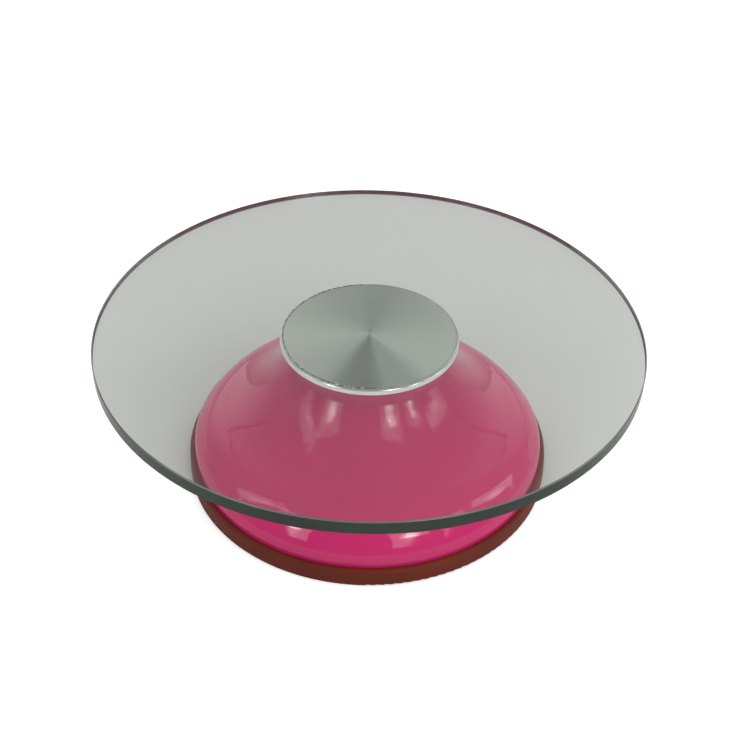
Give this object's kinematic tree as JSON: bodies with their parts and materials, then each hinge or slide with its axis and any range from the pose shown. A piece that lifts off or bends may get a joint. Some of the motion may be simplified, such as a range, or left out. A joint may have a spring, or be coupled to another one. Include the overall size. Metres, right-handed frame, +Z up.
{
  "type": "cake turntable",
  "caption": "Round glass cake plate that spins freely on a domed plastic base with a ball-bearing spindle and a non-slip foot ring.",
  "frame": {"origin": "on the table, under the middle of the foot ring", "axes": "+Z up along the spindle's axis; the object is round, so X and Y only mark the picture's right and back"},
  "size_m": [0.3, 0.3, 0.0935],
  "materials": {
    "clear_glass": "clear, polished, green at the edge",
    "clear_adhesive": "clear",
    "turned_aluminium": "turned face, polished bevel",
    "spindle_steel": "turned",
    "plated_screws": "zinc plated",
    "spring_steel": "dark, oiled",
    "bearing_steel": "ground and polished",
    "pressed_steel": "pressed sheet",
    "cast_alloy": "die cast",
    "pink_plastic": "gloss",
    "pink_matt_plastic": "fine matt texture",
    "brown_rubber": "satin"
  },
  "bodies": {
    "base": {"base_shell": "pink_plastic", "bearing_housing": "cast_alloy", "bottom_cover": "pink_matt_plastic", "cover_screws": "plated_screws", "foot_ring": "brown_rubber", "housing_screws": "plated_screws", "lower_bearing_outer_race": "bearing_steel", "lower_bearing_shields": "pressed_steel", "upper_bearing_outer_race": "bearing_steel", "upper_bearing_shields": "pressed_steel"},
    "turntable_top": {"glass_plate": "clear_glass", "bond_film": "clear_adhesive", "hub_disc": "turned_aluminium", "spindle": "spindle_steel", "spindle_screws": "plated_screws", "upper_bearing_inner_race": "bearing_steel", "lower_bearing_inner_race": "bearing_steel", "shim_washer": "spring_steel", "spring_washer": "spring_steel", "retaining_ring": "spring_steel"},
    "upper_cage_and_balls": {"upper_bearing_cage": "pressed_steel", "upper_bearing_balls": "bearing_steel"},
    "lower_cage_and_balls": {"lower_bearing_cage": "pressed_steel", "lower_bearing_balls": "bearing_steel"}
  },
  "joints": [
    {"name": "plate_spin", "type": "hinge", "parent": "base", "child": "turntable_top", "pos_m": [0, 0, 0.066], "axis": [0, 0, 1], "continuous": true},
    {"name": "upper_cage_spin", "type": "hinge", "parent": "base", "child": "upper_cage_and_balls", "pos_m": [0, 0, 0.066], "axis": [0, 0, 1], "continuous": true},
    {"name": "lower_cage_spin", "type": "hinge", "parent": "base", "child": "lower_cage_and_balls", "pos_m": [0, 0, 0.04], "axis": [0, 0, 1], "continuous": true}
  ],
  "couplings": [
    {"joint": "upper_cage_spin", "follows": "plate_spin", "ratio": 0.38095},
    {"joint": "lower_cage_spin", "follows": "plate_spin", "ratio": 0.38095}
  ]
}
